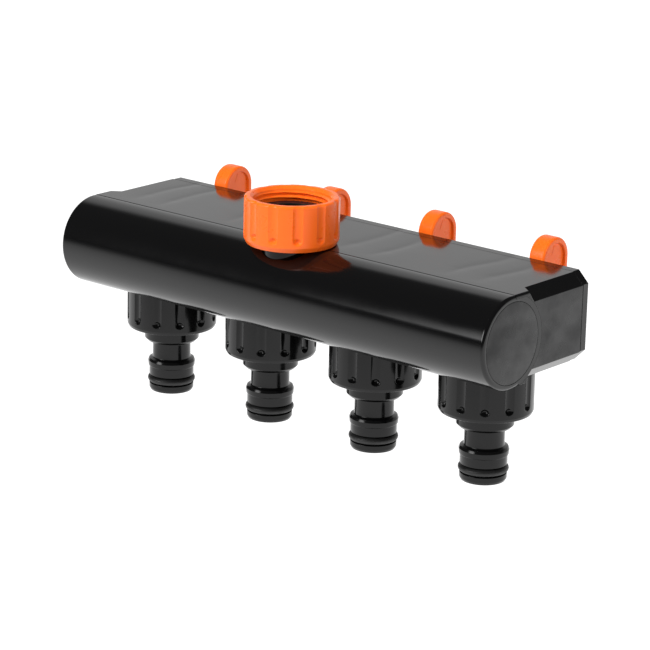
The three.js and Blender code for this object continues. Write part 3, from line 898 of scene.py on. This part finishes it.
def floor():
    """A pale floor that glows with painted light, brightest near the splitter and dimmer a long way in
    front.
    """
    mesh = bpy.data.meshes.new("floor")
    height = TIP_BOTTOM * MM + AXIS.z - FLOOR_DROP
    corners = [(x * FLOOR_SIZE, y * FLOOR_SIZE, height) for x, y in ((-1, -1), (1, -1), (1, 1), (-1, 1))]
    mesh.from_pydata(corners, [], [(0, 1, 2, 3)])
    made = bpy.data.objects.new("floor", mesh)
    bpy.context.scene.collection.objects.link(made)
    material = Material("floor", (0.05, 0.05, 0.05), 0.9)
    split = material.nodes.new("ShaderNodeSeparateXYZ")
    material.links.new(material.place, split.inputs[0])
    ramp = material.nodes.new("ShaderNodeValToRGB")
    near, far = FLOOR_GLOW_LEVELS[0][0], FLOOR_GLOW_LEVELS[-1][0]
    elements = ramp.color_ramp.elements
    while len(elements) < len(FLOOR_GLOW_LEVELS):
        elements.new(0.5)
    for element, (y, level) in zip(elements, FLOOR_GLOW_LEVELS):
        element.position = (y - near) / (far - near)
        element.color = (level / 2, level / 2, level / 2, 1)
    share = material.ranged(split.outputs[1], 0.0, 1.0, near, far)
    material.links.new(share, ramp.inputs["Fac"])
    # Painted light: the floor glows by emission, graded along Y.
    material.links.new(ramp.outputs["Color"], material.shader.inputs["Emission Color"])
    material.set("Emission Strength", 2.0)
    mesh.materials.append(material.made)


def sky():
    """A dark studio with a light wall behind the splitter and a softbox in front, to the left."""
    world = bpy.data.worlds.new("studio")
    bpy.context.scene.world = world
    world.use_nodes = True
    nodes, links = world.node_tree.nodes, world.node_tree.links
    nodes.clear()

    def maths(operation, first, second=0.0):
        return math_node(world.node_tree, operation, first, second)

    def step(value, low, high):
        node = nodes.new("ShaderNodeMapRange")
        node.interpolation_type = "SMOOTHSTEP"
        node.inputs[1].default_value = low
        node.inputs[2].default_value = high
        links.new(value, node.inputs[0])
        return node.outputs[0]

    coordinates = nodes.new("ShaderNodeTexCoord")
    split = nodes.new("ShaderNodeSeparateXYZ")
    links.new(coordinates.outputs["Generated"], split.inputs[0])
    x, y, z = split.outputs
    wall_top = maths("SUBTRACT", 0.46, maths("MULTIPLY", x, 0.35))
    wall = maths("MULTIPLY", step(maths("SUBTRACT", wall_top, z), -0.06, 0.06), step(y, 0.15, 0.45))
    aside = maths("DIVIDE", x, y)
    across = maths("MULTIPLY", step(maths("MULTIPLY", aside, -1.0), -0.82, -0.56), step(aside, 0.1, 0.25))
    upward = maths("MULTIPLY", step(z, 0.1, 0.17), step(maths("MULTIPLY", z, -1.0), -0.52, -0.44))
    box = maths("MULTIPLY", maths("MULTIPLY", across, upward), maths("LESS_THAN", y, 0.0))
    behind = maths("ADD", STUDIO_LEVEL, maths("MULTIPLY", wall, WALL_LEVEL))
    level = maths("ADD", behind, maths("MULTIPLY", box, SOFTBOX_LEVEL))
    background = nodes.new("ShaderNodeBackground")
    links.new(level, background.inputs["Strength"])
    output = nodes.new("ShaderNodeOutputWorld")
    links.new(background.outputs[0], output.inputs["Surface"])


def area_light(name, azimuth, elevation, distance, radiance, size=0.6):
    """A square soft light that faces the splitter and leaves no reflection of its own in it. Azimuth
    is measured from +Y towards +X."""
    data = bpy.data.lights.new(name, "AREA")
    data.shape = "SQUARE"
    data.size = size
    data.energy = radiance * math.pi * size * size
    made = bpy.data.objects.new(name, data)
    bpy.context.scene.collection.objects.link(made)
    turn, rise = math.radians(azimuth), math.radians(elevation)
    toward = Vector((math.sin(turn) * math.cos(rise), math.cos(turn) * math.cos(rise), math.sin(rise)))
    made.location = toward * distance + AXIS
    made.rotation_euler = toward.to_track_quat("Z", "Y").to_euler()
    made.visible_glossy = False


def lights():
    area_light("key", 190, 50, 1.0, 15.0)
    area_light("fill", 90, 20, 1.2, 6.2)


camera()
floor()
sky()
lights()
gallery()
end_caps()
valve_housing()
valve_bodies()
back_cover()
inlet_fittings()
nuts()
nipples()
for outlet_number in OUTLETS:
    lever(outlet_number)
screws()
inner_parts()
bpy.context.scene.view_settings.view_transform = "Standard"
